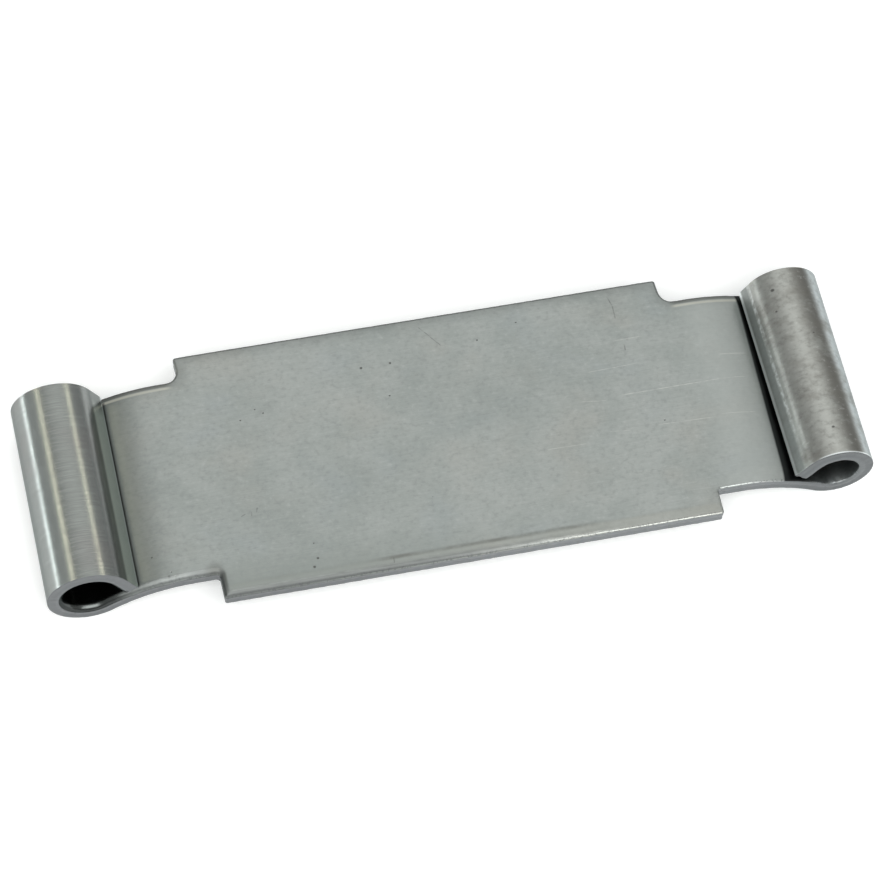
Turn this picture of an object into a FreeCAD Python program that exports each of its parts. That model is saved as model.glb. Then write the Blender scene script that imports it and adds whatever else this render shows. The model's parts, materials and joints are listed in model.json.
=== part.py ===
"""Hinge strap: one piece of steel sheet, blanked with a notch at each corner, whose two necks are
dipped and rolled up, over and back into hollow pin eyes.

Frame: the origin is the middle of the plate's underside, midway between the two pin axes.
+X runs along the strap from the left eye to the right eye, +Y along the eyes, +Z up, on the side
that the eyes are rolled to.  Millimetres.
"""
import FreeCAD, Part
import os
from math import acos, cos, degrees, radians, sin

import Sketcher

doc = FreeCAD.newDocument("hinge_strap")

# ---------------------------------------------------------------- driving sizes

sheet = doc.addObject("Spreadsheet::Sheet", "Sizes")
SIZES = [
    ("eye_spacing", 101.6, "between the two pin axes"),
    ("gauge", 2.28, "sheet thickness"),
    ("neck_width", 29.8, "necks and eyes, along Y"),
    ("neck_length", 17.2, "from a pin axis to the notched end of the plate"),
    ("notch_depth", 3.7, "how far the plate stands out past a neck on each side"),
    ("far_notch_radius", 1.8, "inner corner of the two notches on the +Y side"),
    ("near_notch_radius", 0.5, "inner corner of the two notches on the -Y side"),
    ("corner_radius", 0.4, "outer corners of the plate, blunted by the blanking"),
    ("left_bore_radius", 3.35, "inside of the left eye"),
    ("right_bore_radius", 2.85, "inside of the right eye"),
    ("dip_radius", 19.6, "inside of the gentle bend where a neck dips to its eye"),
    ("roll_angle", 273.0, "degrees that each eye is rolled through"),
    ("tip_gap", 0.12, "between the cut end of a curl and the sheet under it"),
]
for row, (alias, value, note) in enumerate(SIZES, start=1):
    sheet.set(f"A{row}", alias)
    sheet.set(f"B{row}", str(value))
    sheet.set(f"C{row}", note)
    sheet.setAlias(f"B{row}", alias)
doc.recompute()


def size(alias):
    """The value of one named cell."""
    return float(sheet.get(alias))


# what follows from the driving sizes, as expressions and as numbers:
# half the plate each way, and how far the larger eye reaches
PLATE_END = "(Sizes.eye_spacing / 2 - Sizes.neck_length)"
PLATE_SIDE = "(Sizes.neck_width / 2 + Sizes.notch_depth)"
STRAP_END = "(Sizes.eye_spacing / 2 + max(Sizes.left_bore_radius; Sizes.right_bore_radius) + Sizes.gauge)"
plate_end = size("eye_spacing") / 2 - size("neck_length")
plate_side = size("neck_width") / 2 + size("notch_depth")
strap_end = size("eye_spacing") / 2 + max(size("left_bore_radius"), size("right_bore_radius")) + size("gauge")

# ---------------------------------------------------------------- sketch helpers

def origin_plane(body, role):
    """One of the body's own origin planes."""
    for feature in body.Origin.OriginFeatures:
        if feature.Role == role:
            return feature
    raise RuntimeError(f"{body.Name} has no {role}")


def new_sketch(body, name, role):
    """An empty sketch on one of the body's origin planes."""
    sketch = body.newObject("Sketcher::SketchObject", name)
    sketch.AttachmentSupport = (origin_plane(body, role), [""])
    sketch.MapMode = "FlatFace"
    return sketch


def add_line(sketch, start, end):
    """A line between two (x, y) points; returns its number in the sketch."""
    return sketch.addGeometry(Part.LineSegment(FreeCAD.Vector(*start, 0), FreeCAD.Vector(*end, 0)))


def add_arc(sketch, centre, radius, start, end):
    """An anticlockwise arc between two angles in degrees; returns its number in the sketch."""
    circle = Part.Circle(FreeCAD.Vector(*centre, 0), FreeCAD.Vector(0, 0, 1), radius)
    return sketch.addGeometry(Part.ArcOfCircle(circle, radians(start), radians(end)))


def constrain(sketch, kind, *where, to=None):
    """Add one constraint.  to is the expression that gives its value, in mm or degrees."""
    if to is None:
        sketch.addConstraint(Sketcher.Constraint(kind, *where))
        return
    value = float(sketch.evalExpression(to))
    if kind == "Angle":
        value = radians(value)
    number = sketch.addConstraint(Sketcher.Constraint(kind, *where, value))
    sketch.setExpression(f"Constraints[{number}]", to)


START, END, CENTRE = 1, 2, 3   # the points of a sketch line or arc
ROOT, X_AXIS = (-1, START), -1 # a sketch's own origin point, and its horizontal axis

# ---------------------------------------------------------------- section along the strap

body = doc.addObject("PartDesign::Body", "hinge_strap")
body.Label = "hinge_strap"
section = new_sketch(body, "strap_section", "XZ_Plane")


def add_eye(side, side_sign):
    """One end of the section: the dip, the rolled eye and the straight end of its curl.

    Two outlines run one gauge apart.  The upper one becomes the inside of the eye, and the lower one
    its outside.  The pin axis lies in the middle plane of the sheet, so a pull on the strap goes
    straight through it.  Returns the ends of both outlines that meet the plate, as (geometry, point).
    """
    gauge = size("gauge")
    bore = size(f"{side}_bore_radius")
    dip = size("dip_radius")
    eye = (side_sign * size("eye_spacing") / 2, gauge / 2)
    # the dip and the roll touch, so their centres are one of each radius and one gauge apart
    reach = dip + gauge + bore
    dip_angle = degrees(acos((eye[1] + dip) / reach))
    bend = (eye[0] - side_sign * reach * sin(radians(dip_angle)), -dip)
    curl_angle = size("roll_angle") - 180 - dip_angle
    slope = radians(curl_angle)
    along = (-side_sign * cos(slope), -sin(slope))   # the way the curl's straight end runs
    out = (-side_sign * sin(slope), cos(slope))      # square to it, away from the eye's axis
    straight = 3.0                                   # a first length, which the sketch corrects

    def place(offset, forward):
        """A point beside the eye: offset out from its axis, then forward along the straight end."""
        return tuple(e + o * offset + a * forward for e, o, a in zip(eye, out, along))

    if side_sign > 0:
        dip_span, roll_span = (90 - dip_angle, 90), (-90 - dip_angle, 90 + curl_angle)
        # on an anticlockwise arc: the end that faces the plate, and the end that faces the curl's tip
        dip_ends, roll_ends = (END, START), (START, END)
    else:
        dip_span, roll_span = (90, 90 + dip_angle), (90 - curl_angle, 270 + dip_angle)
        dip_ends, roll_ends = (START, END), (END, START)

    dip_upper = add_arc(section, bend, dip + gauge, *dip_span)
    dip_lower = add_arc(section, bend, dip, *dip_span)
    roll_inside = add_arc(section, eye, bore, *roll_span)
    roll_outside = add_arc(section, eye, bore + gauge, *roll_span)
    tip_inside = add_line(section, place(bore, 0), place(bore, straight))
    tip_cut = add_line(section, place(bore, straight), place(bore + gauge, straight))
    tip_outside = add_line(section, place(bore + gauge, straight), place(bore + gauge, 0))

    # each arc and line runs smoothly into the next, up to the cut, which is square across the sheet
    constrain(section, "Tangent", dip_upper, dip_ends[1], roll_inside, roll_ends[0])
    constrain(section, "Tangent", dip_lower, dip_ends[1], roll_outside, roll_ends[0])
    constrain(section, "Tangent", roll_inside, roll_ends[1], tip_inside, START)
    constrain(section, "Tangent", roll_outside, roll_ends[1], tip_outside, END)
    constrain(section, "Coincident", tip_inside, END, tip_cut, START)
    constrain(section, "Coincident", tip_cut, END, tip_outside, START)
    constrain(section, "Perpendicular", tip_inside, tip_cut)
    constrain(section, "Perpendicular", tip_cut, tip_outside)
    constrain(section, "Coincident", dip_upper, CENTRE, dip_lower, CENTRE)
    constrain(section, "Coincident", roll_inside, CENTRE, roll_outside, CENTRE)

    pin = (roll_inside, CENTRE)
    across = (*ROOT, *pin) if side_sign > 0 else (*pin, *ROOT)
    constrain(section, "DistanceX", *across, to="Sizes.eye_spacing / 2")
    constrain(section, "DistanceY", *ROOT, *pin, to="Sizes.gauge / 2")
    constrain(section, "Radius", roll_inside, to=f"Sizes.{side}_bore_radius")
    constrain(section, "Radius", dip_lower, to="Sizes.dip_radius")
    constrain(section, "Angle", roll_inside, to="Sizes.roll_angle")
    tip_reach = "Sizes.dip_radius + Sizes.gauge + Sizes.tip_gap"
    constrain(section, "Distance", dip_upper, CENTRE, tip_inside, END, to=tip_reach)
    return (dip_upper, dip_ends[0]), (dip_lower, dip_ends[0]), bend[0]


left_upper, left_lower, left_bend_x = add_eye("left", -1)
right_upper, right_lower, right_bend_x = add_eye("right", 1)
plate_top = add_line(section, (left_bend_x, size("gauge")), (right_bend_x, size("gauge")))
plate_back = add_line(section, (left_bend_x, 0), (right_bend_x, 0))
for line, left_end, right_end in (
    (plate_top, left_upper, right_upper),
    (plate_back, left_lower, right_lower),
):
    constrain(section, "Tangent", line, START, *left_end)
    constrain(section, "Tangent", line, END, *right_end)
constrain(section, "PointOnObject", plate_back, START, X_AXIS)
constrain(section, "Horizontal", plate_back)
constrain(section, "Horizontal", plate_top)
constrain(section, "DistanceY", *ROOT, plate_top, START, to="Sizes.gauge")
doc.recompute()

strip = body.newObject("PartDesign::Pad", "rolled_strip")
strip.Profile = section
strip.Midplane = True
strip.setExpression("Length", f"2 * {PLATE_SIDE}")
doc.recompute()
strip_volume = body.Shape.Volume

# ---------------------------------------------------------------- notches that leave the two necks

notches = new_sketch(body, "corner_notches", "XY_Plane")
PAST = 2.0   # how far the notches run on past the metal, so that they cut all of it


def add_notch(x_sign, y_sign, radius_name):
    """One corner notch: square to the plate's end and the neck's side, with a round inner corner."""
    neck_side = size("neck_width") / 2
    radius = size(radius_name)
    far_x = strap_end + PAST
    far_y = plate_side + PAST

    def at(x, y):
        return (x_sign * x, y_sign * y)

    corner = at(plate_end + radius, neck_side + radius)
    # the quarter of the circle that faces the middle of the plate
    first = {(1, 1): 180, (-1, 1): 270, (-1, -1): 0, (1, -1): 90}[(x_sign, y_sign)]
    end_side = add_line(notches, at(plate_end, far_y), at(plate_end, neck_side + radius))
    neck_line = add_line(notches, at(plate_end + radius, neck_side), at(far_x, neck_side))
    outer_x = add_line(notches, at(far_x, neck_side), at(far_x, far_y))
    outer_y = add_line(notches, at(far_x, far_y), at(plate_end, far_y))
    arc = add_arc(notches, corner, radius, first, first + 90)
    at_plate, at_neck = (START, END) if x_sign == y_sign else (END, START)

    constrain(notches, "Tangent", arc, at_plate, end_side, END)
    constrain(notches, "Tangent", arc, at_neck, neck_line, START)
    constrain(notches, "Coincident", neck_line, END, outer_x, START)
    constrain(notches, "Coincident", outer_x, END, outer_y, START)
    constrain(notches, "Coincident", outer_y, END, end_side, START)
    constrain(notches, "Vertical", end_side)
    constrain(notches, "Horizontal", neck_line)
    constrain(notches, "Vertical", outer_x)
    constrain(notches, "Horizontal", outer_y)
    constrain(notches, "Radius", arc, to=f"Sizes.{radius_name}")

    def distance(kind, sign, line, point, to):
        ends = (*ROOT, line, point) if sign > 0 else (line, point, *ROOT)
        constrain(notches, kind, *ends, to=to)

    distance("DistanceX", x_sign, end_side, START, PLATE_END)
    distance("DistanceY", y_sign, neck_line, END, "Sizes.neck_width / 2")
    distance("DistanceX", x_sign, outer_x, END, f"{STRAP_END} + {PAST}")
    distance("DistanceY", y_sign, outer_x, END, f"{PLATE_SIDE} + {PAST}")


for x_sign in (-1, 1):
    add_notch(x_sign, 1, "far_notch_radius")
    add_notch(x_sign, -1, "near_notch_radius")
doc.recompute()

blanked = body.newObject("PartDesign::Pocket", "neck_notches")
blanked.Profile = notches
blanked.Type = "ThroughAll"
blanked.Midplane = True
doc.recompute()
least_cut = 4 * size("notch_depth") * size("neck_length") * size("gauge")   # with the necks flat
if strip_volume - body.Shape.Volume < least_cut:
    raise RuntimeError("the notches don't cut through the necks' sides")

# ---------------------------------------------------------------- blunted outer corners of the plate

def corner_edges(shape):
    """The names of the upright edges at the plate's four outer corners."""
    names = []
    for number, edge in enumerate(shape.Edges, start=1):
        ends = [vertex.Point for vertex in edge.Vertexes]
        upright = len(ends) == 2 and (ends[0] - ends[1]).cross(FreeCAD.Vector(0, 0, 1)).Length < 1e-6
        at_end = abs(abs(ends[0].x) - plate_end) < 1e-6
        at_side = abs(abs(ends[0].y) - plate_side) < 1e-6
        if upright and at_end and at_side:
            names.append(f"Edge{number}")
    return names


corners = corner_edges(blanked.Shape)
if len(corners) != 4:
    raise RuntimeError(f"expected the plate's 4 corners, found {len(corners)}")
blunted = body.newObject("PartDesign::Fillet", "blunted_corners")
blunted.Base = (blanked, corners)
blunted.setExpression("Radius", "Sizes.corner_radius")
body.Tip = blunted
doc.recompute()

# ---------------------------------------------------------------- checks and files

for item in doc.Objects:
    if {"Invalid", "Error"} & set(item.State):
        raise RuntimeError(f"{item.Label} failed: {item.State}")
for sketch in (section, notches):
    if not sketch.FullyConstrained:
        raise RuntimeError(f"{sketch.Label} isn't fully constrained")
parts = [body]
for part in parts:
    if part.Shape.isNull() or not part.Shape.isValid():
        raise RuntimeError(f"{part.Label} has no valid shape")
    if len(part.Shape.Solids) != 1:
        raise RuntimeError(f"{part.Label} isn't one solid")

os.makedirs("parts", exist_ok=True)
for part in parts:
    part.Shape.exportStep(f"parts/{part.Label}.step")
    box = part.Shape.BoundBox
    print(f"{part.Label}: {box.XLength:.2f} x {box.YLength:.2f} x {box.ZLength:.2f} mm, "
          f"z {box.ZMin:.2f} to {box.ZMax:.2f}, {part.Shape.Volume:.0f} mm3")
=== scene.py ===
import json
from math import acos, atan2, cos, exp, pi, radians, sin, sqrt

import bmesh
import bpy
from mathutils import Matrix, Vector, noise


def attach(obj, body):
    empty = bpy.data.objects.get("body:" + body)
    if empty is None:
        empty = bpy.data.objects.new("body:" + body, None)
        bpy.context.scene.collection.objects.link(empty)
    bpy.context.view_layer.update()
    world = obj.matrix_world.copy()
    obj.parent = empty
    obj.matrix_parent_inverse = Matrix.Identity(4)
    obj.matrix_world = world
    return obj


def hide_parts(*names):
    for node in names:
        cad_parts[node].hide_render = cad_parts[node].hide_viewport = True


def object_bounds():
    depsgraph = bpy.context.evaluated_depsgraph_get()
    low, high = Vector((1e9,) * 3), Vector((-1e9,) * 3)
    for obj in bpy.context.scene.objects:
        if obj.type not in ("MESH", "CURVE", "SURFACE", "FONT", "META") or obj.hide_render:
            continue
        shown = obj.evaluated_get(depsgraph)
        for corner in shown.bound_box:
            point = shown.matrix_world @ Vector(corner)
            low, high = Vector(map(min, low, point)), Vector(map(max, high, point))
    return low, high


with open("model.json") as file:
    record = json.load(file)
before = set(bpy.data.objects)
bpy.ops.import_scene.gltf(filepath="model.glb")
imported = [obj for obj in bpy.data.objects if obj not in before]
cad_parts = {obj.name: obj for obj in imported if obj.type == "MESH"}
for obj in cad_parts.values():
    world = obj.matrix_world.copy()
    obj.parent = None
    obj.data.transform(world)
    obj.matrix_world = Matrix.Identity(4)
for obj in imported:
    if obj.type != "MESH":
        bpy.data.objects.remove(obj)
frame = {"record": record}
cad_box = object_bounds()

# ------------------------------------------------------------------ viewpoint
# The strap lies on its two eyes and is seen from above its near side, 60 degrees down, through a
# long lens.  Its left end is swung a little nearer, and the picture leans by 5 degrees.

MM = 0.001
view_turn = -0.29005
view_dip = 1.05267
view_lean = 0.08958
view_distance = 613.4 * MM
aim = Vector((-0.0947, -0.7681)) * MM      # sideways and up, from the middle of the strap

mounts = {mount["name"]: mount for mount in frame["record"]["mounts"]}
gauge = mounts["plate_top"]["pos_m"][2] - mounts["plate_back"]["pos_m"][2]
half_gauge = gauge / 2
facing = Matrix.Rotation(view_turn, 3, "Z") @ Matrix.Rotation(pi / 2 - view_dip, 3, "X")
facing = facing @ Matrix.Rotation(view_lean, 3, "Z")
stand = Vector((0, 0, half_gauge)) + facing @ Vector((aim.x, aim.y, view_distance))

camera = bpy.data.objects.new("camera", bpy.data.cameras.new("camera"))
camera.data.sensor_width = 36.0
camera.data.lens = 184.77
camera.data.clip_start = 10 * MM
camera.matrix_world = Matrix.Translation(stand) @ facing.to_4x4()
scene = bpy.context.scene
scene.collection.objects.link(camera)
scene.camera = camera
scene.view_settings.view_transform = "Standard"

# ------------------------------------------------------------------ floor
# A plain white floor under the strap, just low enough for the lower end of the left eye.


def material(name):
    """A new node material: the material, its tree and its shader."""
    made = bpy.data.materials.new(name)
    made.use_nodes = True
    return made, made.node_tree, made.node_tree.nodes["Principled BSDF"]


FLOOR_REACH = 3.0
FLOOR_DROP = 0.12 * MM                         # below the true shape's lowest point
floor_height = cad_box[0].z - FLOOR_DROP
floor_mesh = bpy.data.meshes.new("floor")
floor_square = ((-1, -1), (1, -1), (1, 1), (-1, 1))
floor_corners = [(x * FLOOR_REACH, y * FLOOR_REACH, floor_height) for x, y in floor_square]
floor_mesh.from_pydata(floor_corners, [], [(0, 1, 2, 3)])
floor = bpy.data.objects.new("floor", floor_mesh)
scene.collection.objects.link(floor)
floor_paint, tree, shader = material("floor_white")
shader.inputs["Base Color"].default_value = (0.93, 0.94, 0.94, 1)
shader.inputs["Roughness"].default_value = 0.9
shader.inputs["Specular IOR Level"].default_value = 0.1
shader.inputs["Emission Color"].default_value = (1, 1, 1, 1)
shader.inputs["Emission Strength"].default_value = 0.2
floor_mesh.materials.append(floor_paint)

# ------------------------------------------------------------------ studio light
# One large soft light over the near side, and three narrow ones with grids, two of them warm, which
# draw the long reflections down the left eye.  The room is palest above and a little behind.


def softbox(name, place, at, size, watts, colour, spread=180):
    """A rectangular light that faces a point.  Its second side runs as near as it can along Y."""
    data = bpy.data.lights.new(name, "AREA")
    data.shape = "RECTANGLE"
    data.size, data.size_y = size
    data.energy = watts
    data.color = colour
    data.spread = radians(spread)
    lamp = bpy.data.objects.new(name, data)
    scene.collection.objects.link(lamp)
    lamp.visible_camera = False
    back = (Vector(place) - Vector(at)).normalized()
    side = Vector((0, 1, 0)).cross(back).normalized()
    turned = Matrix((side, back.cross(side), back)).transposed().to_4x4()
    lamp.matrix_world = Matrix.Translation(place) @ turned


STRIP, LOW_STRIP = (0.065, 0.14), (0.026, 0.14)
WARM, COOL = (1.0, 0.95, 0.72), (0.94, 1.0, 0.99)
GRID = 14                                      # degrees that a strip's light spreads over
left_eye_middle = mounts["left_eye"]["pos_m"]
softbox("near_softbox", (-0.1, -0.8, 1.0), (0, 0, 0), (1.4, 1.0), 17.0, (1.0, 0.995, 0.99))
softbox("left_strip", (-0.268, 0.19, 0.278), left_eye_middle, STRIP, 0.0007, WARM, GRID)
softbox("right_strip", (0.189, 0.19, 0.258), left_eye_middle, STRIP, 0.00058, WARM, GRID)
softbox("low_strip", (-0.271, 0.1185, 0.010), left_eye_middle, LOW_STRIP, 0.0006, COOL, GRID)

world = bpy.data.worlds.new("studio")
scene.world = world
world.use_nodes = True
tree = world.node_tree
way = tree.nodes.new("ShaderNodeTexCoord")
towards = tree.nodes.new("ShaderNodeVectorMath")
towards.operation = "DOT_PRODUCT"
towards.inputs[1].default_value = Vector((0.19, 0.40, 0.895)).normalized()
room = tree.nodes.new("ShaderNodeValToRGB")
tree.links.new(way.outputs["Generated"], towards.inputs[0])
tree.links.new(towards.outputs["Value"], room.inputs[0])
tree.links.new(room.outputs["Color"], tree.nodes["Background"].inputs["Color"])
ROOM_SHADES = ((0, 0.44), (0.45, 0.47), (0.68, 0.53), (0.79, 0.62), (0.87, 0.76), (0.95, 0.92), (1, 1.02))
shades = room.color_ramp.elements
while len(shades) < len(ROOM_SHADES):
    shades.new(0.5)
for shade, (height, light) in zip(shades, ROOM_SHADES):
    shade.position = height
    shade.color = (light * 0.985, light, light * 0.985, 1)

# ------------------------------------------------------------------ hinge strap: the flat blank
# A die blanks the strap from 2.28 mm cold-rolled steel sheet, with a notch at each corner.  The
# punch rounds the edges of the top side, shears a bright band and tears the rest of the gauge.

neck_side = mounts["left_eye"]["dims"]["length_mm"] * MM / 2
plate_side = cad_box[1].y
neck_length = 17.2 * MM
plate_end = mounts["right_eye"]["pos_m"][0] - neck_length
dip_radius = 19.6 * MM + half_gauge            # along the sheet's middle, as all bends are below
roll_angle = radians(273)
tip_gap = 0.12 * MM

# how far the ends of each eye are from true: radius, place along and height in mm, degrees of roll,
# and tip gap in mm
OUT_OF_TRUE = {
    ("left", "near"): (0.03, 0.20, 0.15, 0.0, -0.07),
    ("left", "far"): (0.07, 0.05, -0.04, 1.0, -0.08),
    ("right", "near"): (-0.05, 0.07, -0.13, -5.7, -0.02),
    ("right", "far"): (0.0, -0.44, -0.02, 0.2, -0.09),
}


class Eye:
    """The middle line of one neck, dip, roll and straight tip, cut square to the pin."""

    def __init__(self, side, share=None):
        """share runs from 0 at the eye's near end to 1 at its far end; None gives the true shape."""
        mount = mounts[side + "_eye"]
        near, far = OUT_OF_TRUE[side, "near"], OUT_OF_TRUE[side, "far"]
        off = [0.0] * 5 if share is None else [a + (b - a) * share for a, b in zip(near, far)]
        self.radius = (mount["dims"]["r_mm"] + off[0]) * MM + half_gauge
        self.pin = (abs(mount["pos_m"][0]) + off[1] * MM, off[2] * MM)
        both = dip_radius + self.radius
        self.dip = acos((dip_radius + self.pin[1]) / both)
        self.bend = self.pin[0] - both * sin(self.dip)
        turn = roll_angle + radians(off[3])
        self.last = turn - self.dip
        # the straight tip goes on until the inner corner of its cut is a gap above the dip
        forward = Vector((cos(self.last), sin(self.last)))
        inner = self.rolled(self.last) + Vector((-forward.y, forward.x)) * half_gauge
        inner -= Vector((self.bend, -dip_radius))
        clear = dip_radius + half_gauge + tip_gap + off[4] * MM
        ahead = inner.dot(forward)
        tip = -ahead - sqrt(ahead ** 2 - inner.length_squared + clear ** 2)
        self.lengths = (self.bend - plate_end, dip_radius * self.dip, self.radius * turn, tip)

    def rolled(self, heading):
        """The place on the roll where the sheet heads that way."""
        return Vector((self.pin[0] + self.radius * sin(heading), self.pin[1] - self.radius * cos(heading)))

    def at(self, piece, share):
        """Place and heading on the neck (piece 0), dip (1), roll (2) or tip (3)."""
        if piece == 0:
            return Vector((plate_end + self.lengths[0] * share, 0)), 0.0
        if piece == 1:
            turned = self.dip * share
            return Vector((self.bend + dip_radius * sin(turned), dip_radius * (cos(turned) - 1))), -turned
        if piece == 2:
            heading = -self.dip + (self.last + self.dip) * share
            return self.rolled(heading), heading
        ahead = Vector((cos(self.last), sin(self.last))) * self.lengths[3] * share
        return self.rolled(self.last) + ahead, self.last


TRUE = {side: Eye(side) for side in ("left", "right")}
blank_end = {side: plate_end + sum(eye.lengths) for side, eye in TRUE.items()}
roll_end = {side: blank_end[side] - eye.lengths[3] for side, eye in TRUE.items()}
crown = {side: roll_end[side] - eye.radius * (eye.last - pi) for side, eye in TRUE.items()}

# each corner of the blank, anticlockwise, and its rounding; three of the plate's corners are cut a
# little long or short of the true length
TIP, NEAR_NOTCH, FAR_NOTCH, CORNER = 0.35 * MM, 0.5 * MM, 1.8 * MM, 0.35 * MM
OUT_OF_SQUARE = {"near right": 0.62 * MM, "far right": -0.2 * MM, "far left": 0.2 * MM}
blank_corners = [
    (blank_end["right"], -neck_side, TIP),
    (blank_end["right"], neck_side, TIP),
    (plate_end, neck_side, FAR_NOTCH),
    (plate_end + OUT_OF_SQUARE["far right"], plate_side, CORNER),
    (-plate_end - OUT_OF_SQUARE["far left"], plate_side, CORNER),
    (-plate_end, neck_side, FAR_NOTCH),
    (-blank_end["left"], neck_side, TIP),
    (-blank_end["left"], -neck_side, TIP),
    (-plate_end, -neck_side, NEAR_NOTCH),
    (-plate_end, -plate_side, CORNER),
    (plate_end + OUT_OF_SQUARE["near right"], -plate_side, CORNER),
    (plate_end + OUT_OF_SQUARE["near right"], -neck_side, NEAR_NOTCH),
]


CORNER_STEPS = 8


def blank_outline(inset):
    """The outline drawn in by inset.  It has the same number of points whatever the inset."""
    points = []
    for number, (x, y, rounding) in enumerate(blank_corners):
        here = Vector((x, y))
        coming = (here - Vector(blank_corners[number - 1][:2])).normalized()
        going = (Vector(blank_corners[(number + 1) % len(blank_corners)][:2]) - here).normalized()
        juts_out = coming.x * going.y - coming.y * going.x > 0
        drawn = rounding - inset if juts_out else rounding + inset
        for step in range(CORNER_STEPS + 1):
            turned = step / CORNER_STEPS * pi / 2
            if drawn > 0:
                points.append(here + (going - coming) * rounding
                              + (coming * sin(turned) - going * cos(turned)) * drawn)
            else:
                points.append(here + (going - coming) * inset)
    return points


# the edge from the top face to the bottom one, as inset and depth below the top: a long shallow
# fall, the rounding, the burnished band, the torn band and a small burr
ROUNDING, ROUNDING_DEPTH = 0.2 * MM, 0.17 * MM
ROUNDING_ANGLES = [radians(angle) for angle in (12, 28, 43, 56, 67, 78, 90)]
FALL = 0.232 * MM
FALLING = (
    (2.2, 0), (1.85, 0.007), (1.5, 0.028), (1.15, 0.064),
    (0.85, 0.105), (0.6, 0.148), (0.4, 0.187), (0.28, 0.213),
)
SHEARED = (
    (0, 0.75), (0, 1.05), (0.02, 1.15), (0.05, 1.45), (0.05, 1.75), (0.02, 2.0), (0.02, 2.17), (0.11, 2.28),
)
edge_rings = [(inset * MM, drop * MM) for inset, drop in FALLING]
for turned in ROUNDING_ANGLES:
    inset = ROUNDING * (1 - sin(turned)) / (1 - sin(ROUNDING_ANGLES[0]))
    edge_rings.append((inset, FALL + ROUNDING_DEPTH * (cos(ROUNDING_ANGLES[0]) - cos(turned))))
FIRST_SHEARED = len(edge_rings) - 1
edge_rings += [(inset * MM, drop * MM) for inset, drop in SHEARED]

shape = bmesh.new()
rings = []
for inset, drop in edge_rings:
    rings.append([shape.verts.new((p.x, p.y, half_gauge - drop)) for p in blank_outline(inset)])
count = len(rings[0])
for number, (upper, lower) in enumerate(zip(rings, rings[1:])):
    for i in range(count):
        j = (i + 1) % count
        face = shape.faces.new((upper[i], lower[i], lower[j], upper[j]))
        face.material_index = int(number >= FIRST_SHEARED)
shape.faces.new(rings[0])
shape.faces.new(list(reversed(rings[-1])))
bmesh.ops.remove_doubles(shape, verts=shape.verts, dist=0.002 * MM)

# lines across and along, close together where the sheet bends: steps on the neck, dip, roll and tip
STEPS = (0.6, 0.45, 0.28, 0.4)
PLATE_STEPS, WIDTH_STEPS = 90, 9
across_lines = []
for side, sign in (("left", -1), ("right", 1)):
    start = plate_end
    for length, step in zip(TRUE[side].lengths, STEPS):
        steps = max(2, round(length / (step * MM)))
        across_lines += [sign * (start + length * i / steps) for i in range(steps + 1)]
        start += length
    across_lines.pop()
across_lines += [plate_end * i / PLATE_STEPS for i in range(1 - PLATE_STEPS, PLATE_STEPS)]
along_lines = [neck_side * i / WIDTH_STEPS for i in range(1 - WIDTH_STEPS, WIDTH_STEPS)]
along_lines += [neck_side * beyond for beyond in (-1.09, 1.09)]
for lines, way in ((across_lines, Vector((1, 0, 0))), (along_lines, Vector((0, 1, 0)))):
    for place in lines:
        everything = shape.verts[:] + shape.edges[:] + shape.faces[:]
        bmesh.ops.bisect_plane(shape, geom=everything, dist=0.0005 * MM, plane_co=way * place, plane_no=way)
bmesh.ops.remove_doubles(shape, verts=shape.verts, dist=0.004 * MM)

# ------------------------------------------------------------------ hinge strap: torn edges, bends
# The torn half of the edge is uneven.  Then each neck is dipped and its end is rolled up, over and
# back, until the cut end stands on the strap; the ends come out slightly different.


def bend(place):
    """Where a point of the flat blank goes once the strap is rolled."""
    along, across, depth = place
    if abs(along) <= plate_end:
        return Vector((along, across, half_gauge + depth))
    side, sign = ("right", 1) if along > 0 else ("left", -1)
    rest = abs(along) - plate_end
    lengths = TRUE[side].lengths
    piece = 0
    while piece < 3 and rest > lengths[piece]:
        rest -= lengths[piece]
        piece += 1
    eye = Eye(side, (across + neck_side) / (2 * neck_side))
    middle, heading = eye.at(piece, min(rest / lengths[piece], 1.0))
    x = middle.x - depth * sin(heading)
    z = middle.y + depth * cos(heading)
    return Vector((sign * x, across, half_gauge + z))


# where the punch was worn, the near edge's left half is rounded by SOFT_EDGE, fading over SOFT_RUN
SOFT_EDGE, SOFT_RUN = 0.95 * MM, 46 * MM
FAR_DROOP = 0.1                                # how much further the far edge falls, as a share
CORNER_DROOP, DROOP_REACH = 0.07 * MM, 1.3     # how far the plate's corners droop, and over how many mm
NICKS = ((-39.9, 0.3), (-39.0, 0.22))          # place and half width in mm, in the left neck's near edge
NICK_DEPTH = 0.17 * MM
# in mm, how far in the torn band lies, and the ripple of that band and of the top edge
TORN_IN, TORN_RIPPLE, TOP_RIPPLE = 0.03, 0.045, 0.022


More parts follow.
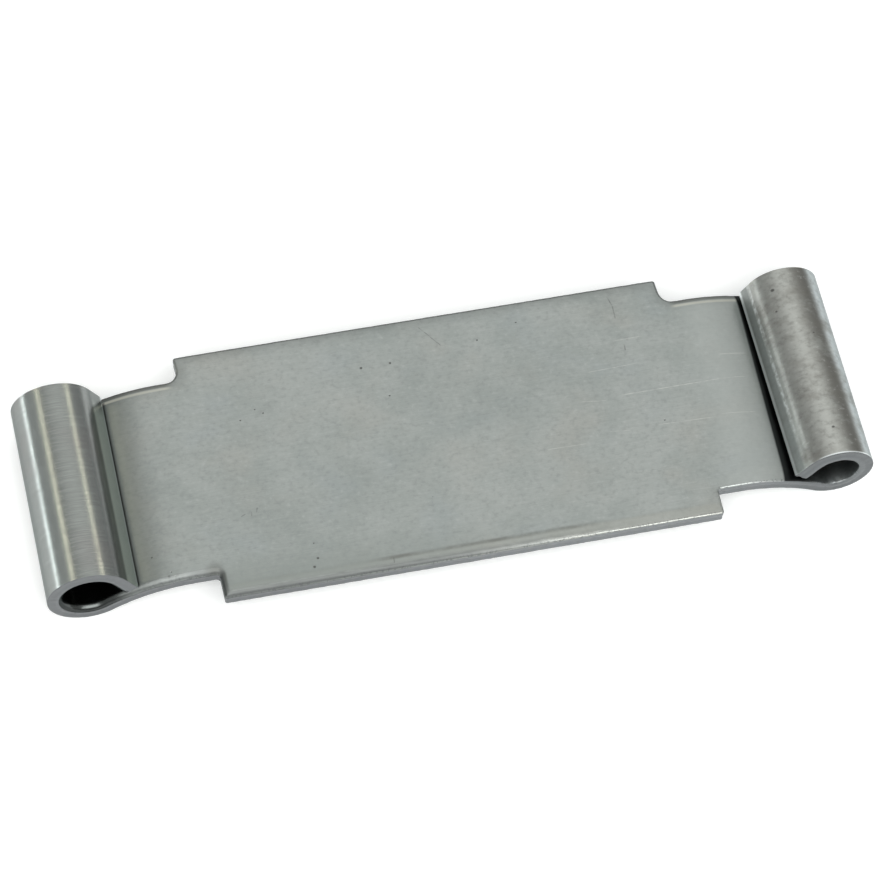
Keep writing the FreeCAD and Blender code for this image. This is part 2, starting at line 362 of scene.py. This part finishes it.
def uneven(place, normal):
    """A point of the blank's edge as the punch leaves it: torn, burred, and drooping at the corners."""
    drop = (half_gauge - place.z) / MM
    side = Vector((normal.x, normal.y, 0))
    ripple = noise.fractal(place / (0.7 * MM), 0.8, 2.0, 3, noise_basis="PERLIN_ORIGINAL")
    moved = place.copy()
    if 1.1 < drop < 2.2 and side.length > 0.3:
        moved -= side.normalized() * (TORN_IN + TORN_RIPPLE * ripple) * MM
    if 0.003 < drop < 0.45 and place.y < 0:
        nearest = min(edge_rings[:FIRST_SHEARED + 1], key=lambda ring: abs(ring[1] - drop * MM))
        inside = max(0.0, SOFT_EDGE - nearest[0])
        soft = SOFT_EDGE - sqrt(SOFT_EDGE ** 2 - inside ** 2)
        moved.z += (nearest[1] - soft) * min(1.0, max(0.0, 0.5 - place.x / SOFT_RUN))
    if 0.003 < drop < 0.45 and place.y > 0:
        moved.z -= FAR_DROOP * drop * MM
    if 0.03 < drop < 0.45:
        moved -= normal * TOP_RIPPLE * ripple * MM
    if drop < 1.2:
        apart = Vector((abs(place.x) - plate_end, abs(place.y) - plate_side)).length / MM
        moved.z -= CORNER_DROOP * exp(-((apart / DROOP_REACH) ** 2)) * (1 - drop / 1.2)
        for along, width in NICKS:
            if place.y < 0 and drop > 0.03:
                from_nick = abs(place.x / MM - along) / width
                moved.z -= NICK_DEPTH * max(0.0, 1 - from_nick)
    return moved


flat_place = {}
shape.normal_update()
for vertex in shape.verts:
    flat_place[vertex] = vertex.co.copy()
for vertex in shape.verts:
    vertex.co = bend(uneven(flat_place[vertex], vertex.normal))

strap_mesh = bpy.data.meshes.new("rolled_strap")
shape.normal_update()
shape.verts.index_update()
saved = [flat_place[vertex] for vertex in shape.verts]
shape.to_mesh(strap_mesh)
shape.free()
blank_place = strap_mesh.attributes.new("blank_place", "FLOAT_VECTOR", "POINT")
blank_place.data.foreach_set("vector", [number for place in saved for number in place])
strap_mesh.shade_smooth()
strap_mesh.set_sharp_from_angle(angle=radians(38))
strap = bpy.data.objects.new("rolled_strap", strap_mesh)
scene.collection.objects.link(strap)

# ------------------------------------------------------------------ hinge strap: its steel
# Bare cold-rolled steel.  The faces keep a fine grain along the strip, a few scratches and pits,
# the rolling has burnished the left eye more than the right one, and the sheared edges are dull.


class Finish:
    """A steel finish being mixed.  Its patterns lie on the flat blank, so they follow the bends."""

    def __init__(self, name):
        self.made, self.tree, self.shader = material(name)
        self.shader.inputs["Metallic"].default_value = 1.0
        self.place = self.node("ShaderNodeAttribute", {"attribute_name": "blank_place"}).outputs["Vector"]
        apart = self.node("ShaderNodeSeparateXYZ", Vector=self.place)
        self.along, self.across, self.through = apart.outputs["X"], apart.outputs["Y"], apart.outputs["Z"]

    def node(self, kind, settings=None, **inputs):
        """A node, its own options, and values or sockets for its inputs (_0 is the first input)."""
        made = self.tree.nodes.new(kind)
        for option, value in (settings or {}).items():
            setattr(made, option, value)
        for name, value in inputs.items():
            socket = made.inputs[int(name[1:])] if name[0] == "_" else made.inputs[name]
            if isinstance(value, bpy.types.NodeSocket):
                self.tree.links.new(value, socket)
            else:
                socket.default_value = value
        return made

    def number(self, operation, first, second=0.0):
        """What a sum on one or two numbers gives."""
        return self.node("ShaderNodeMath", {"operation": operation}, _0=first, _1=second).outputs[0]

    def product(self, *shares):
        """Several shares multiplied together."""
        result = shares[0]
        for share in shares[1:]:
            result = self.number("MULTIPLY", result, share)
        return result

    def largest(self, *shares):
        """The largest of several shares."""
        result = shares[0]
        for share in shares[1:]:
            result = self.number("MAXIMUM", result, share)
        return result

    def total(self, start, *parts):
        """A number with so much of each of several others added."""
        for much, other in parts:
            start = self.number("ADD", start, self.product(other, much))
        return start

    def eased(self, value, low, high, out_low=0.0, out_high=1.0):
        """value eased from low to high, as a number from out_low to out_high."""
        made = self.node("ShaderNodeMapRange", {"interpolation_type": "SMOOTHSTEP"}, Value=value)
        for number, limit in enumerate((low, high, out_low, out_high)):
            made.inputs[number + 1].default_value = limit
        return made.outputs["Result"]

    def line(self, value, centre, edge, core, most=1.0):
        """A line where value is centre: full within core of it, and nothing beyond edge."""
        off = self.number("ABSOLUTE", self.number("SUBTRACT", value, centre))
        return self.eased(off, edge, core, 0.0, most)

    def cloudy(self, per_metre, detail=3.0, rough=0.55):
        """Noise over the flat blank, with so many waves a metre along, across and through it."""
        spread = self.node("ShaderNodeVectorMath", {"operation": "MULTIPLY"}, _0=self.place, _1=per_metre)
        made = self.node("ShaderNodeTexNoise", Vector=spread.outputs[0], Scale=1.0, Detail=detail)
        made.inputs["Roughness"].default_value = rough
        return made.outputs["Fac"]

    def stroke(self, start, end, width):
        """1 along a fine line from start to end on the blank, in millimetres, fading at its ends."""
        start, end = Vector(start) * MM, Vector(end) * MM
        centre = ((start + end) / 2).to_3d()
        run = end - start
        turned = self.node("ShaderNodeVectorRotate", {"rotation_type": "Z_AXIS"}, Vector=self.place)
        turned.inputs["Center"].default_value = centre
        turned.inputs["Angle"].default_value = -atan2(run.y, run.x)
        off = self.node("ShaderNodeVectorMath", {"operation": "SUBTRACT"}, _0=turned.outputs[0], _1=centre)
        off = self.node("ShaderNodeVectorMath", {"operation": "ABSOLUTE"}, _0=off.outputs[0])
        ends = self.node("ShaderNodeSeparateXYZ", Vector=off.outputs[0])
        thin = self.eased(ends.outputs["Y"], width * MM, width * MM * 0.2)
        return self.product(thin, self.eased(ends.outputs["X"], run.length / 2, run.length * 0.35))

    def spot(self, centre, edge, core, most=1.0):
        """A round spot on the blank, in millimetres: full within core of centre, nothing beyond edge."""
        centre = Vector(centre) * MM
        away = self.node("ShaderNodeVectorMath", {"operation": "DISTANCE"}, _0=self.place, _1=centre)
        return self.eased(away.outputs["Value"], edge * MM, core * MM, 0.0, most)

    def coats(self, colour, *coats):
        """A colour with a share of one colour after another laid over it."""
        for share, over in coats:
            under, over = [c if isinstance(c, bpy.types.NodeSocket) else (*c, 1) for c in (colour, over)]
            colour = self.node("ShaderNodeMix", {"data_type": "RGBA"}, _0=share, _6=under, _7=over).outputs[2]
        return colour

    def finished(self, colour, dull, relief, strength, depth):
        """The material, once its colour, its roughness and a relief of some depth are on the shader."""
        bump = self.node("ShaderNodeBump", Strength=strength, Distance=depth, Height=relief)
        self.tree.links.new(colour, self.shader.inputs["Base Color"])
        self.tree.links.new(dull, self.shader.inputs["Roughness"])
        self.tree.links.new(bump.outputs["Normal"], self.shader.inputs["Normal"])
        return self.made


# marks from handling, in millimetres on the flat blank: start, end and width of each scratch and
# dark hairline on the plate and the left neck, and place and radius of each larger pit
SCRATCHES = (
    ((24.1, 1.5), (36.0, 1.55), 0.11), ((33.0, 1.5), (43.0, 1.62), 0.07), ((28.0, -3.9), (37.0, -4.15), 0.08),
    ((37.2, -3.8), (42.4, -4.1), 0.06), ((25.5, 10.0), (29.8, 10.05), 0.08), ((39.3, 5.4), (43.4, 5.3), 0.10),
    ((20.6, 5.8), (28.2, 6.0), 0.07), ((19.0, 1.5), (22.8, 1.0), 0.07), ((21.3, -3.7), (25.0, -4.05), 0.06),
    ((12.6, -4.9), (18.9, -5.0), 0.06),
)
DARK_HAIRLINES = (
    ((26.3, 17.2), (26.75, 15.5), 0.11), ((26.75, 15.7), (26.7, 13.3), 0.09),
    ((26.95, 9.3), (26.9, 8.2), 0.12),
    ((-0.2, 17.2), (1.2, 15.3), 0.09), ((1.1, 15.4), (2.4, 13.6), 0.08), ((-29.3, -7.3), (-28.6, -7.0), 0.12),
    ((-27.9, -7.5), (-27.8, -6.8), 0.13), ((-27.2, -7.1), (-26.9, -6.3), 0.13),
    # the two dark hairlines at -39.9 and -39.0 mm are painted shade in the nicks of the left neck's near edge
    ((-10.7, -17.9), (-10.65, -17.0), 0.10), ((-39.9, -14.85), (-39.8, -13.9), 0.22),
    ((-39.0, -14.85), (-39.0, -14.2), 0.18),
)
PITS = (
    (-9.03, 12.19, 0.24), (-5.01, 12.23, 0.21), (7.38, 13.6, 0.15),
    (-20.5, -15.3, 0.22), (-21.2, -16.5, 0.24),
    (-20.6, -13.0, 0.12), (-6.1, 7.25, 0.16), (-26.6, 7.2, 0.16), (-24.4, 8.5, 0.14), (-23.4, 7.75, 0.15),
    (-41.5, -10.8, 0.16), (-39.4, -13.6, 0.14),
)
RIGHT_EYE_PITS = ((65.99, 11.89, 0.30), (66.3, 8.6, 0.18), (64.37, -10.64, 0.22), (63.1, 4.2, 0.15))
FACE = 1.14                                    # depth of the top face; the outside of the eyes is -FACE
PIT_CORE = 0.45                                # share of a pit's radius that is fully dark
RIM = -17.05 * MM                              # where the near edge starts to fall
RIDGE = roll_end["right"] + 0.65 * MM          # where the right roll goes over into its straight tip


def rolled_steel():
    """The finish of the sheet's two faces and of the edges that the punch rounded."""
    steel = Finish("rolled_steel")
    steel.shader.inputs["Specular Tint"].default_value = (0.5, 0.52, 0.52, 1)
    along, across, through = steel.along, steel.across, steel.through
    eased, product = steel.eased, steel.product
    reach = steel.number("ABSOLUTE", along)
    top_side = eased(through, 0.3 * MM, 0.5 * MM)
    under_side = steel.number("SUBTRACT", 1.0, top_side)
    left_eye = eased(along, -43 * MM, -47 * MM)
    right_eye = eased(along, 45 * MM, 49 * MM)

    # mill finish: fine grain along the sheet, small pebbles, clouds, warmth and broad drifts of
    # brightness; the right neck and the start of its dip are painted a little paler, as painted light
    grain = steel.cloudy((300, 6200, 900), 3.0, 0.65)
    pebble = steel.cloudy((1400, 1700, 1500), 4.0, 0.65)
    cloud = steel.cloudy((210, 260, 130), 5.0, 0.62)
    warmth = steel.cloudy((85, 105, 60), 3.0, 0.5)
    drift = steel.cloudy((55, 48, 30), 2.0, 0.5)
    colour = steel.coats(
        (0.348, 0.374, 0.36),
        (eased(cloud, 0.3, 0.7), (0.402, 0.426, 0.412)),
        (eased(warmth, 0.5, 0.72, 0.0, 0.5), (0.405, 0.405, 0.378)),
        (eased(warmth, 0.48, 0.28, 0.0, 0.5), (0.36, 0.395, 0.40)),
        (eased(drift, 0.52, 0.68, 0.0, 0.42), (0.43, 0.45, 0.435)),
        (eased(drift, 0.5, 0.34, 0.0, 0.42), (0.315, 0.342, 0.33)),
        (eased(grain, 0.45, 0.7, 0.0, 0.17), (0.27, 0.285, 0.28)),
        (eased(grain, 0.5, 0.3, 0.0, 0.16), (0.50, 0.515, 0.505)),
        (eased(pebble, 0.48, 0.72, 0.0, 0.43), (0.27, 0.285, 0.28)),
        (eased(pebble, 0.46, 0.24, 0.0, 0.43), (0.49, 0.505, 0.495)),
        # painted light: paler over the right neck and the start of its dip
        (eased(along, 33 * MM, 40 * MM, 0.0, 0.55), (0.44, 0.465, 0.45)),
    )

    # the left eye is darker and shinier, least so along its crown, with a painted highlight as a pale
    # band before the crown; painted light makes its straight tip pale, past a dark line of painted
    # shade, and painted shade darkens the top side into the dip
    past_roll = steel.number("SUBTRACT", product(along, -1.0), roll_end["left"])
    # painted light: the straight tip made pale where it catches light, less at the far end
    left_tip_painted_light = eased(past_roll, 0.1 * MM, 0.9 * MM, 0.0, 0.9)
    left_tip_painted_light = product(left_tip_painted_light, eased(across, 13.8 * MM, 11 * MM, 0.1, 1.0))
    # painted shade: a dark line where the roll turns into the straight tip
    left_tip_shade_line = steel.line(along, -roll_end["left"], 0.75 * MM, 0.1 * MM)
    left_tip_shade_line = product(left_tip_shade_line, eased(cloud, 0.35, 0.6, 0.15, 0.36))
    # painted shade: the top side darkened into the dip, under the roll's tip
    left_dip_shade = product(eased(along, -38.5 * MM, -43.5 * MM, 0.0, 0.66), top_side)
    left_colour = steel.coats(
        (0.265, 0.278, 0.272),
        (steel.line(along, -crown["left"], 2.6 * MM, 0.3 * MM), (0.30, 0.315, 0.30)),
        (eased(warmth, 0.45, 0.6, 0.0, 0.4), (0.25, 0.235, 0.235)),
        (eased(grain, 0.4, 0.68, 0.0, 0.22), (0.12, 0.125, 0.12)),
        (eased(grain, 0.5, 0.3, 0.0, 0.2), (0.42, 0.435, 0.42)),
        (left_tip_painted_light, (0.80, 0.86, 0.82)),
        (left_tip_shade_line, (0.12, 0.13, 0.13)),
        # painted highlight: the pale band before the crown, where a long streak of light runs
        (steel.line(along, 2.6 * MM - crown["left"], 1.3 * MM, 0.3 * MM, 0.6), (0.50, 0.54, 0.52)),
    )
    colour = steel.coats(colour, (product(left_eye, 0.85), left_colour), (left_dip_shade, (0.15, 0.165, 0.155)))

    # the right one is rubbed along its crown and paler there with a painted sheen, brown on its flanks,
    # pale low down on its outside with a painted reflection of the white floor, and darker on its
    # straight tip with painted shade
    past_crown = steel.number("SUBTRACT", along, crown["right"] + 1.0 * MM)
    # rubbed, and painted sheen: a paler band along the crown
    rubbed_crown_sheen = eased(steel.number("ABSOLUTE", past_crown), 2.7 * MM, 0.1 * MM)
    # painted shade: the right eye's straight tip made darker
    tip_shade = eased(along, roll_end["right"] + 0.6 * MM, roll_end["right"] + 1.1 * MM, 0.0, 0.72)
    right_colour = steel.coats(
        (0.205, 0.197, 0.18),
        (eased(past_crown, -1.0 * MM, 1.0 * MM), (0.36, 0.365, 0.345)),
        (rubbed_crown_sheen, (0.50, 0.505, 0.475)),
        # painted reflection of the white floor: pale and bluish low down on the outside
        (eased(past_crown, -3.0 * MM, -4.2 * MM), (0.50, 0.54, 0.55)),
        (eased(cloud, 0.5, 0.66, 0.0, 0.45), (0.20, 0.185, 0.16)),
        (eased(cloud, 0.46, 0.34, 0.0, 0.4), (0.50, 0.52, 0.49)),
        (eased(pebble, 0.45, 0.72, 0.0, 0.46), (0.17, 0.162, 0.148)),
        (eased(pebble, 0.42, 0.25, 0.0, 0.52), (0.62, 0.63, 0.6)),
        (tip_shade, (0.22, 0.24, 0.235)),
    )
    colour = steel.coats(colour, (product(right_eye, 0.85), right_colour))

    # painted highlights: the ridge where the right roll goes over into its tip, in specks, the outside
    # edge of both cuts, which is rubbed there too, and the burr over the crown at the right eye's near end
    speck = eased(steel.cloudy((1500, 1500, 900), 2.0, 0.6), 0.36, 0.66, 0.1, 0.66)
    # painted highlight: bright specks along the ridge
    ridge_highlight = steel.line(along, RIDGE, 0.42 * MM, 0.08 * MM)
    ridge_highlight = product(ridge_highlight, speck, under_side, eased(across, -14 * MM, -2 * MM, 0.15, 1.0))
    # rubbed, and painted highlight: the outside edge of both cuts made bright
    right_cut = eased(along, blank_end["right"] - 0.7 * MM, blank_end["right"] - 0.3 * MM, 0.0, 0.95)
    left_cut = eased(along, -blank_end["left"] + 0.6 * MM, -blank_end["left"] + 0.2 * MM, 0.0, 0.8)
    cut_edge_rubbed_and_lit = product(under_side, steel.largest(right_cut, left_cut))
    # painted highlight: the burr over the right eye's crown made bright
    burr = product(eased(across, -neck_side + 0.38 * MM, -neck_side + 0.2 * MM), under_side)
    burr = product(burr, eased(past_crown, 2.2 * MM, 1.0 * MM, 0.1, 1.0))
    burr = product(burr, eased(past_crown, -6.5 * MM, -3.5 * MM), right_eye)
    colour = steel.coats(
        colour,
        (steel.largest(ridge_highlight, cut_edge_rubbed_and_lit), (0.82, 0.86, 0.86)),
        (burr, (0.88, 0.92, 0.92)),
    )

    # the near edge: a dark line of painted shade where the sheet starts to fall, warmer outside it,
    # painted shade along its left part, and a worn dull rounding on the left that turns into a bright
    # ragged one; painted shade darkens the far rounding too
    outer_rim = product(eased(across, -16.9 * MM, -17.3 * MM), top_side, 0.35)
    # painted shade: the plate darker along the near edge's left part
    near_left_shade = product(eased(across, -12 * MM, -17.5 * MM), eased(along, 14 * MM, -20 * MM), top_side, 0.7)
    # painted shade: a dark line where the sheet starts to fall
    rim_shade_line = product(steel.line(across, RIM, 0.45 * MM, 0.05 * MM), top_side)
    rim_shade_line = product(rim_shade_line, eased(cloud, 0.35, 0.6, 0.3, 0.85))
    rim_shade_line = product(rim_shade_line, eased(along, -17 * MM, -9 * MM, 0.2, 1.0))
    rim_shade_line = product(rim_shade_line, eased(along, 20 * MM, 14 * MM, 0.2, 1.0))
    rounding = product(eased(through, 0.95 * MM, 0.91 * MM), top_side)
    worn = product(eased(through, 1.05 * MM, 0.97 * MM), eased(along, 27 * MM, -6 * MM))
    worn = product(worn, eased(through, 0.80 * MM, 0.90 * MM, 0.35, 0.89), eased(across, -5 * MM, -10 * MM))
    worn = product(worn, eased(along, -48 * MM, -45 * MM), eased(along, -38 * MM, -33 * MM, 0.75, 1.0))
    ragged = steel.cloudy((3800, 3800, 900), 2.0, 0.6)
    colour = steel.coats(
        colour,
        (outer_rim, (0.40, 0.395, 0.35)),
        (near_left_shade, (0.30, 0.325, 0.31)),
        (rim_shade_line, (0.2, 0.205, 0.19)),
        (worn, (0.13, 0.138, 0.135)),
        (product(rounding, eased(ragged, 0.5, 0.36, 0.0, 0.6)), (0.12, 0.125, 0.13)),
        # painted shade: the far rounding darkened
        (product(rounding, eased(across, 5 * MM, 10 * MM, 0.0, 0.55)), (0.12, 0.125, 0.12)),
    )

    # each neck's far edge: a pale line of painted highlight, and a dark line of painted shade outside it
    in_neck = product(eased(reach, plate_end + 0.8 * MM, plate_end + 2.2 * MM), top_side)
    far_edge_highlight = product(steel.line(across, neck_side - 0.95 * MM, 0.32 * MM, 0.08 * MM, 0.55), in_neck)
    far_edge_shade = product(steel.line(across, neck_side - 0.42 * MM, 0.32 * MM, 0.1 * MM, 0.5), in_neck)
    colour = steel.coats(colour, (far_edge_highlight, (0.72, 0.71, 0.62)), (far_edge_shade, (0.10, 0.10, 0.09)))

    # marks from handling on the top side, pits of all sizes, and a smear by the near left notch
    patchy = eased(steel.cloudy((900, 900, 900), 2.0, 0.5), 0.35, 0.6, 0.3, 1.0)
    scratch = product(steel.largest(*[steel.stroke(*marks) for marks in SCRATCHES]), patchy, top_side)
    hairline = product(steel.largest(*[steel.stroke(*marks) for marks in DARK_HAIRLINES]), patchy, top_side)
    pits = [steel.spot((x, y, FACE), radius, radius * PIT_CORE) for x, y, radius in PITS]
    pits += [steel.spot((x, y, -FACE), radius, radius * PIT_CORE) for x, y, radius in RIGHT_EYE_PITS]
    cells = steel.node("ShaderNodeTexVoronoi", Vector=steel.place, Scale=300.0)
    chance = steel.node("ShaderNodeSeparateColor", Color=cells.outputs["Color"]).outputs[0]
    small_pits = eased(cells.outputs["Distance"], 0.045, 0.015)
    pit = steel.largest(*pits, product(small_pits, steel.number("GREATER_THAN", chance, 0.75)))
    colour = steel.coats(
        colour,
        (product(scratch, 0.6), (0.62, 0.63, 0.6)),
        (steel.spot((-34.1, -14.4, 1.1), 1.5, 0.3, 0.45), (0.16, 0.165, 0.15)),
        (product(hairline, 0.6), (0.16, 0.165, 0.16)),
        (product(pit, 0.8), (0.09, 0.09, 0.085)),
    )

    # painted shade inside the eyes, darkest at the left one's rounded lip, and in the crease before
    # the right curl
    eye_inside_shade = steel.total(0.78, (-0.15, right_eye))
    # painted shade: the inside of the eyes darkened
    inside = product(top_side, eased(reach, 45 * MM, 48 * MM), eye_inside_shade)
    # painted shade: the left eye's rounded lip darkened
    lip_shade = product(rounding, eased(along, -44 * MM, -48 * MM, 0.0, 0.6))
    # painted shade: the crease under the right curl's tip darkened
    slanted = steel.total(along, (-0.03, across))
    crease_shade = product(top_side, eased(slanted, 43.65 * MM, 44.0 * MM))
    crease_shade = product(crease_shade, eased(along, 49 * MM, 46 * MM, 0.0, 0.97))
    colour = steel.coats(
        colour,
        (inside, (0.06, 0.065, 0.065)),
        (lip_shade, (0.03, 0.032, 0.032)),
        (crease_shade, (0.025, 0.027, 0.027)),
    )

    # the left eye is glossier and the worn edge duller; the grain stands out more on the left eye
    dull = eased(cloud, 0.3, 0.7, 0.27, 0.32)
    dull = steel.total(dull, (0.06, pebble), (-0.10, left_eye), (0.02, right_eye), (0.25, worn))
    wave = steel.cloudy((60, 50, 30), 2.0, 0.4)
    grained = steel.total(0.05, (0.09, left_eye))
    relief = steel.total(product(wave, 0.35), (grained, grain), (0.08, pebble))
    relief = steel.total(relief, (-0.3, pit), (-0.15, hairline))
    return steel.finished(colour, dull, relief, 1.0, 0.1 * MM)


def sheared_steel():
    """The finish of the edges below the rounding: a burnished band, then the torn metal."""
    steel = Finish("sheared_steel")
    torn = steel.eased(steel.through, 0.1 * MM, -0.1 * MM)
    tear = steel.cloudy((2600, 2600, 500), 3.0, 0.6)
    patch = steel.cloudy((420, 420, 420), 3.0, 0.6)
    colour = steel.coats(
        (0.185, 0.197, 0.203),
        (steel.eased(patch, 0.3, 0.7), (0.235, 0.248, 0.256)),
        (steel.product(torn, 0.4), (0.19, 0.2, 0.205)),
        (steel.eased(tear, 0.55, 0.8, 0.0, 0.5), (0.13, 0.135, 0.14)),
        (steel.eased(steel.along, 12 * MM, -25 * MM, 0.0, 0.45), (0.12, 0.125, 0.13)),
        (steel.eased(steel.along, 34 * MM, 50 * MM, 0.0, 0.5), (0.10, 0.108, 0.11)),
    )
    dull = steel.total(steel.eased(patch, 0.3, 0.7, 0.34, 0.46), (0.06, torn))
    return steel.finished(colour, dull, tear, 0.5, 0.06 * MM)


strap_mesh.materials.append(rolled_steel())
strap_mesh.materials.append(sheared_steel())

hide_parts("hinge_strap")
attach(strap, "root")

# ------------------------------------------------------------------ size
# The strap is as large as the frame says.

bpy.context.view_layer.update()
